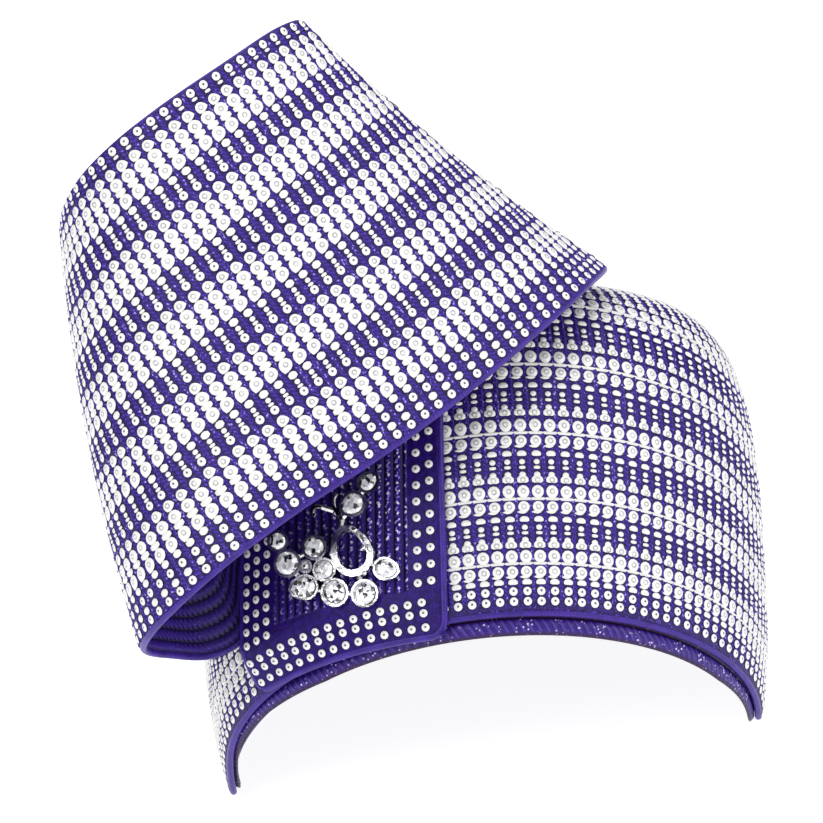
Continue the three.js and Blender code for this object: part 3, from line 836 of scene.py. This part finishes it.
def flap_outward(turn, down):
    step = 0.002
    around = flap_place(turn + step, down) - flap_place(turn - step, down)
    falling = flap_place(turn, down + step) - flap_place(turn, down - step)
    return unit(np.cross(around, falling))


def places_on_flap(down, aside=0.0):
    """Places on a row of the flap, in columns counted from the one in the middle of its front,
    or a part of a column aside. Also whether each is clear of the seam behind."""
    steps = (FLAP_COLUMNS + aside) * (4.4 + 0.57 * down)
    line = flap_row(down)
    reached = lengths_along(line)
    turns = np.linspace(0, 1, len(line))
    column = 0.1812 + 0.0055 * down + 0.026 * down * down
    start = np.interp(column, turns, reached)
    seam = np.interp(FLAP_SEAM, turns, reached)
    distance = start + steps
    inside = (distance < seam) & (distance > seam - reached[-1])
    turn = np.interp(np.mod(distance, reached[-1]), reached, turns)
    out = flap_outward(turn, down)
    along = unit(flap_place(turn - 0.002, down) - flap_place(turn + 0.002, down))
    point = flap_place(turn, down) + out * WALL / 2
    return (point, along, np.cross(out, along), out), inside


flap_shell = new_sheet("flap_shell", 260, 60,
                       lambda turn, rise: flap_place(turn, 0.985 - 0.980 * rise))
face_along(flap_shell, lambda centre: centre - settled(flap_row(0.5).mean(axis=0)))
stretch_map(flap_shell, FLAP_LENGTH, FLAP_WIDTH)
flap_shell.data.materials.append(braid_ground)
flap_shell.data.materials.append(braid_inside)
thicken(flap_shell, WALL, inner_material=1)
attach(flap_shell, "root")
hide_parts("flap")

# The motifs of one braid width of the flap, from its top down, each with its share of a motif
# step, its button, its material and whether it is marked. Five widths lie between the edges.
flap_disc = new_button(10, 2.6, 2.6, rise=0.45)
flap_medium = new_button(12, 3.2, 3.1, tips=((348, 0.34), (234, 0.14)))
flap_big = new_button(12, 4.1, 3.8, tips=((348, 0.12),))
flap_block = new_button(10, 3.7, 2.0, square=4.0, rise=0.6)
flap_drop = new_button(12, 4.1, 3.8, tips=((234, 0.34),))
flap_bean = new_button(8, 2.9, 2.2, square=2.5)
flap_chip = new_button(8, 1.7, 1.5, square=3.4)
flap_dash = new_button(8, 2.1, 0.9, square=3.0)
flap_pattern = [
    (0.000, flap_medium, RINGED, True),
    (0.167, flap_big, RINGED, True),
    (0.285, flap_block, PLAIN, False),
    (0.415, flap_drop, RINGED, True),
    (0.580, flap_bean, PLAIN, False),
    (0.680, flap_chip, PLAIN, False),
    (0.745, flap_dash, PLAIN, False),
    (0.830, flap_disc, PIERCED, True),
]
flap_rows = [(0.016, flap_disc, PIERCED, True), (0.034, flap_dash, PLAIN, False)]
for stripe in range(5):
    for share, button, kind, marked in flap_pattern:
        down = FIRST_MOTIF + (stripe + share) * MOTIF_STEP
        if down < LAST_MOTIF:
            flap_rows.append((down, button, kind, marked))
flap_rows += [
    (0.900, flap_bean, PLAIN, False),
    (0.925, flap_disc, PIERCED, True),
    (0.951, flap_bean, PLAIN, False),
    (0.974, flap_disc, PIERCED, True),
]
flap_lots = []
for down, button, kind, marked in flap_rows:
    spots, inside = places_on_flap(down)
    flap_lots.append((button, tuple(part[inside] for part in spots), kind, marked))
flap_buttons = scattered("flap_buttons", flap_lots)
enamel(flap_buttons)

flap_cords = []
grids = [places_on_flap(down, 0.5) for down in np.linspace(0.008, 0.988, 46)]
for column in range(len(FLAP_COLUMNS)):
    shows = np.array([inside[column] for _, inside in grids])
    line, side, _, out = (np.array([spots[part][column] for spots, _ in grids]) for part in range(4))
    for part in shown_runs(shows):
        flap_cords.append((line[part], side[part], out[part]))
flap_cord_work = ribbons("flap_cord_work", flap_cords, 1.3, 0.42, wave=0.15)
flap_cord_work.data.materials.append(violet_cord)
for piece in (flap_buttons, flap_cord_work):
    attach(piece, "root")

flap_turns = np.linspace(0, 1, 421)
for name, node, down, radius in (
    ("flap_lower_cord", "flap_lower_binding", 0.990, 1.1),
    ("flap_upper_cord", "flap_upper_binding", 0.004, 0.75),
):
    path = flap_place(flap_turns, down)
    beside = flap_outward(flap_turns, down)
    cord = new_sheet(name, 420, 12, cord_place(path, beside, radius))
    close_up(cord)
    stretch_map(cord, 330, 1)
    cord.data.materials.append(satin_piping)
    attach(cord, "root")
    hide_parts(node)


# Tab. A plain ribbed strap sewn to the front of the crown over the flap's end. Its left edge
# stands off where the flap lies under it. Pierced dots run in rows along its plain border.
TAB_LEFT_TOP = math.radians(-60.5)
TAB_BOTTOM = (-1.5, -5.5)
TAB_TOP = (68, 98)
TAB_LIFT = (6.5, 0.8)
TAB_SPAN = 62
TAB_TALL = 60
TAB_RIB = 2.7
TAB_CORD = 1.15
TAB_CORD_INSET = 1.2
TAB_CORNER = 5


def tab_place(height):
    def place(across, rise):
        left = TAB_LEFT + (TAB_LEFT_TOP - TAB_LEFT) * rise
        angle = left + (TAB_RIGHT - left) * across
        lowest = TAB_BOTTOM[0] + (TAB_BOTTOM[1] - TAB_BOTTOM[0]) * across
        front = crown_point(angle, 20 + 0 * angle)
        bottom = (lowest - front[..., 1] * math.sin(ROW_TILT)) / math.cos(ROW_TILT)
        top = TAB_TOP[0] + (TAB_TOP[1] - TAB_TOP[0]) * across
        z = bottom + (top - bottom) * rise
        t = np.clip(rise / 0.24, 0, 1)
        wedge = t * t * (3 - 2 * t) * np.clip(1 - across, 0, None) ** 1.2
        lift = TAB_LIFT[1] + (TAB_LIFT[0] - TAB_LIFT[1]) * wedge + height
        surface = crown_point(angle, z)
        return surface + crown_outward(surface) * lift[..., None]
    return place


tab_weave, shader, place, cloth = new_material("tab_weave", 0.40, Specular_IOR_Level=0.15)
x, y, _ = cloth.axes()
slant = y + x * 0.09
border = x.step(0.122, 0.116) + x.step(0.520, 0.526) + slant.step(0.168, 0.162)
panel = 1 - border.node("ShaderNodeClamp", border)
swing = (y * MILLIMETRES * 3.6).sine() * 0.35 + cloth.noise(30.0) * 0.5
rib = abs((x * MILLIMETRES * (math.pi / TAB_RIB)).sine())
crest = abs((x * MILLIMETRES * (math.pi / TAB_RIB) + swing).sine()).step(0.80, 0.97)
thread = place.cells(1150.0).step(0.55, 0.25)
patchy = cloth.noise(45.0).step(0.34, 0.54) * (x.step(0.15, 0.42) * 0.7 + 0.3)
tone = rib.step(0.15, 0.80).mix((0.004, 0.001, 0.030), (0.024, 0.005, 0.17))
plain = place.noise(700.0).step(0.35, 0.7).mix((0.011, 0.002, 0.080), (0.022, 0.004, 0.16))
tone = panel.mix(plain, tone)
tone = (crest * thread * patchy * panel).mix(tone, (0.40, 0.30, 0.95))
spark = place.cells(800.0).step(0.46, 0.26) * crest * patchy * panel
spark.mix(tone, (0.90, 0.88, 0.97)).into(shader.inputs["Base Color"])
raise_bump(shader, rib * panel + place.noise(1500.0) * 0.3, 0.7, 0.0009)

tab_shell = new_sheet("tab_shell", 60, 64,
                      lambda u, v: tab_place(1.0)(0.02 + 0.96 * u, 0.02 + 0.98 * v))
face_along(tab_shell, lambda centre: centre - settled((0, 0, 60)))
stretch_map(tab_shell, TAB_SPAN, TAB_TALL)
tab_shell.data.materials.append(tab_weave)
thicken(tab_shell, WALL)
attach(tab_shell, "root")
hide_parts("tab")

tab_dots = []
for column in (3.2, 6.7, 10.2, 54.2, 57.8):
    tab_dots += [(column / TAB_SPAN, (14.2 + 4.0 * k) / TAB_TALL) for k in range(13)]
for row, height in enumerate((3.4, 6.8, 9.4)):
    tab_dots += [((3.4 + 3.75 * k - 0.4 * row) / TAB_SPAN, height / TAB_TALL) for k in range(15)]
tab_dots = np.array(tab_dots)


def places_on_tab(across, rise):
    at = tab_place(2.0)
    point = at(across, rise)
    along = unit(at(across + 0.01, rise) - at(across - 0.01, rise))
    up = at(across, rise + 0.01) - at(across, rise - 0.01)
    up = unit(up - (up * along).sum(-1, keepdims=True) * along)
    return point, along, up, np.cross(along, up)


tab_places = places_on_tab(tab_dots[:, 0], tab_dots[:, 1])
tab_buttons = scattered("tab_buttons", [(new_button(10, 2.4, 2.4), tab_places, PIERCED, True)])
enamel(tab_buttons)
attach(tab_buttons, "root")

corner = np.linspace(0, math.pi / 2, 9)[1:-1]
far_corner = TAB_SPAN - TAB_CORNER
bend = (TAB_CORNER - TAB_CORD_INSET) * np.stack([np.sin(corner), np.cos(corner)])
tab_outline = np.concatenate([
    np.stack([np.full(50, TAB_CORD_INSET), np.linspace(TAB_TALL, TAB_CORNER, 50)], -1),
    np.stack([TAB_CORNER - bend[1], TAB_CORNER - bend[0]], -1),
    np.stack([np.linspace(TAB_CORNER, far_corner, 60), np.full(60, TAB_CORD_INSET)], -1),
    np.stack([far_corner + bend[0], TAB_CORNER - bend[1]], -1),
    np.stack([np.full(60, TAB_SPAN - TAB_CORD_INSET), np.linspace(TAB_CORNER, TAB_TALL, 60)], -1),
]) / np.array([TAB_SPAN, TAB_TALL])
tab_path = tab_place(1.0)(tab_outline[:, 0], tab_outline[:, 1])
tab_beside = tab_place(2.0)(tab_outline[:, 0], tab_outline[:, 1]) - tab_path
tab_cord = new_sheet("tab_cord", 300, 12, cord_place(tab_path, tab_beside, TAB_CORD))
close_up(tab_cord)
stretch_map(tab_cord, 190, 1)
tab_cord.data.materials.append(satin_piping)
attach(tab_cord, "root")
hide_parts("tab_binding")


# Brooch. Clear rhinestones in soldered silver cups, round an open teardrop ring with a curling
# stem and two leaves. It is drawn flat, in millimetres to its right, up and out from its back.
silver_shine, shader, place, cloth = new_material("silver_shine", 0.14, 1.0)
tarnish = place.noise(160.0, 3.0)
tone = tarnish.step(0.34, 0.60).mix((0.42, 0.42, 0.43), (0.84, 0.84, 0.85))
tone.into(shader.inputs["Base Color"])
(tarnish.step(0.25, 0.75) * 0.16 + 0.10).into(shader.inputs["Roughness"])
raise_bump(shader, place.noise(900.0), 0.2, 0.0002)

stone_glass, shader, place, cloth = new_material("stone_glass", 0.04, 0.10, IOR=1.6,
                                                 Coat_Weight=1.0)
# Painted reflections: each facet of the clear stones is painted near-black or grey to white, standing
# in for the dark and bright surroundings that a cut stone reflects.
FACETS = 800.0
facet = place.node("ShaderNodeTexVoronoi", place, None, FACETS, output=1, distance="MANHATTAN")
dark_reflection_pick, bright_reflection_level, _ = facet.axes()
tone = bright_reflection_level.step(0.05, 0.70).mix((0.52, 0.53, 0.56), (0.97, 0.98, 1.0))
dark_reflection_pick.step(0.30, 0.22).mix(tone, (0.015, 0.016, 0.022)).into(shader.inputs["Base Color"])
raise_bump(shader, dark_reflection_pick + place.cells(FACETS) * 0.5, 0.8, 0.0004)

for name in ("brooch_frame", *(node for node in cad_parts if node.startswith("stone_"))):
    node = bpy.data.objects[name]
    node.data.materials.clear()
    node.data.materials.append(silver_shine if name == "brooch_frame" else stone_glass)

BROOCH_CENTRE = np.array([-55.7, -62.4, 51.9])
BROOCH_OUT = unit(np.array([-0.43, -0.898, -0.092]))
BROOCH_RIGHT = unit(np.cross([0, 0, 1], BROOCH_OUT))
BROOCH_UP = np.cross(BROOCH_OUT, BROOCH_RIGHT)
RING_CENTRE = np.array([4.4, -2.0])
RING_RADIUS = 5.2
RING_TIP = math.radians(110)
RING_TOP = 2.0
SEED = (-9.4, -4.4)
STONE_BASE = 0.9
WIRE_RADIUS = 0.7
WIRE_HEIGHT = 1.3


def on_brooch(flat, out):
    flat = np.asarray(flat, float)
    return (BROOCH_CENTRE + flat[:, :1] * BROOCH_RIGHT + flat[:, 1:] * BROOCH_UP
            + np.reshape(out, (-1, 1)) * BROOCH_OUT)


def on_ring(angle, grow=0.0):
    reach = RING_RADIUS * (1 + 0.55 * np.maximum(0, np.cos(angle - RING_TIP)) ** 4) + grow
    return RING_CENTRE + reach[:, None] * np.stack([np.cos(angle), np.sin(angle)], -1)


def set_on_ring(angles, grow=0.0):
    """Places for small stones and prongs on the ring, with their length along it."""
    angles = np.radians(angles)
    point = on_brooch(on_ring(angles, grow), np.full(len(angles), RING_TOP - 0.1))
    ahead = on_ring(angles + 0.02, grow) - on_ring(angles - 0.02, grow)
    along = unit(on_brooch(ahead, np.zeros(len(angles))) - BROOCH_CENTRE)
    out = np.tile(BROOCH_OUT, (len(angles), 1))
    return point, along, np.cross(out, along), out


ring_baguettes = scattered("ring_baguettes", [
    (new_button(8, 2.2, 1.3, square=7.0, rise=0.8), set_on_ring([86, 63, 40, 17]), PLAIN, False),
])
ring_baguettes.data.materials.append(stone_glass)
for _ in range(3):
    ring_baguettes.data.materials.append(silver_shine)
ring_prongs = scattered("ring_prongs", [
    (new_button(8, 1.3, 1.3, tips=((90, 0.9),), rise=0.9), set_on_ring([28], -1.2), PLAIN, False),
    (new_button(8, 1.1, 1.1, rise=0.8), set_on_ring([-60, 175], 0.9), PLAIN, False),
])
for _ in range(4):
    ring_prongs.data.materials.append(silver_shine)

seed_place = (on_brooch([SEED], [STONE_BASE]), BROOCH_RIGHT[None], BROOCH_UP[None],
              BROOCH_OUT[None])
seed_stone = scattered("seed_stone", [(new_button(10, 1.7, 1.7, rise=1.5), seed_place, PLAIN, False)])
for _ in range(4):
    seed_stone.data.materials.append(stone_glass)

dark_silver, shader, place, cloth = new_material("dark_silver", 0.22, 1.0)
tone = place.noise(420.0, 3.0).step(0.40, 0.60).mix((0.03, 0.03, 0.035), (0.55, 0.55, 0.57))
tone.into(shader.inputs["Base Color"])
raise_bump(shader, place.noise(1200.0), 0.3, 0.0002)

STEM_CURLS = [  # to the brooch's right and up from its centre
    [(-4.2, 12.1), (-5.6, 12.3), (-6.7, 11.5), (-6.8, 10.3), (-6.0, 9.6)],
    [(1.6, 8.0), (0.6, 9.9), (-0.4, 12.0), (-0.4, 14.0), (0.6, 15.6)],
]
for name, bends in zip(("stem_curl", "stem_branch"), STEM_CURLS):
    bends = np.array(bends)
    fine = np.linspace(0, len(bends) - 1, 40)
    bent = np.stack([np.interp(fine, np.arange(len(bends)), bends[:, k]) for k in range(2)], -1)
    for _ in range(6):
        bent[1:-1] = (bent[:-2] + bent[1:-1] * 2 + bent[2:]) / 4
    path = on_brooch(bent, np.full(40, WIRE_HEIGHT))
    wire = new_sheet(name, 60, 10, cord_place(path, np.tile(BROOCH_OUT, (40, 1)), WIRE_RADIUS))
    close_up(wire)
    wire.data.materials.append(dark_silver)
    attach(wire, "root")
for piece in (ring_baguettes, seed_stone):
    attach(piece, "root")
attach(ring_prongs, "root")


# Studio. The hat stands on a pale floor under large soft lights, seen from a little above and
# from its right-hand side.
bpy.ops.object.select_all(action="DESELECT")
bpy.ops.mesh.primitive_plane_add(size=12, location=(0, 0, 0))
floor = bpy.context.object
floor.name = "studio_floor"
pale_floor, shader, place, cloth = new_material("pale_floor", 0.85, Emission_Strength=0.92)
shader.inputs["Emission Color"].default_value = (1, 1, 1, 1)
place.noise(3.0).mix((0.50, 0.50, 0.50), (0.52, 0.52, 0.52)).into(shader.inputs["Base Color"])
floor.data.materials.append(pale_floor)

bpy.context.scene.view_settings.view_transform = "Standard"
world = bpy.data.worlds.new("studio_white")
bpy.context.scene.world = world
world.use_nodes = True
world.node_tree.nodes["Background"].inputs["Color"].default_value = (1, 1, 1, 1)
world.node_tree.nodes["Background"].inputs["Strength"].default_value = 0.55

for name, spot, size, power in (
    ("left_softbox", (-0.9, -1.3, 1.3), 0.7, 15),
    ("top_softbox", (0.1, 0.2, 1.6), 1.2, 12),
    ("right_softbox", (1.4, -1.0, 0.9), 1.0, 10),
):
    lamp = bpy.data.lights.new(name, "AREA")
    lamp.energy = power
    lamp.size = size
    holder = bpy.data.objects.new(name, lamp)
    bpy.context.collection.objects.link(holder)
    holder.location = spot
    aim = np.array([0, 0, 0.1]) - np.array(spot)
    from_above = math.acos(-aim[2] / np.linalg.norm(aim))
    holder.rotation_euler = (from_above, 0, math.atan2(aim[1], aim[0]) - math.pi / 2)

camera_data = bpy.data.cameras.new("camera")
camera_data.lens = 166.9
camera_data.sensor_width = 36
camera_data.clip_end = 20
camera = bpy.data.objects.new("camera", camera_data)
bpy.context.collection.objects.link(camera)
camera.location = (-0.1528, -1.0773, 0.4398)
RIGHT = np.array([0.973, -0.182, -0.144])
AHEAD = unit(np.array([0.133, 0.945, -0.297]))
right = unit(RIGHT - (RIGHT @ AHEAD) * AHEAD)
up = np.cross(right, AHEAD)
camera.rotation_euler = (math.atan2(up[2], -AHEAD[2]), math.asin(-right[2]),
                         math.atan2(right[1], right[0]))
bpy.context.scene.camera = camera
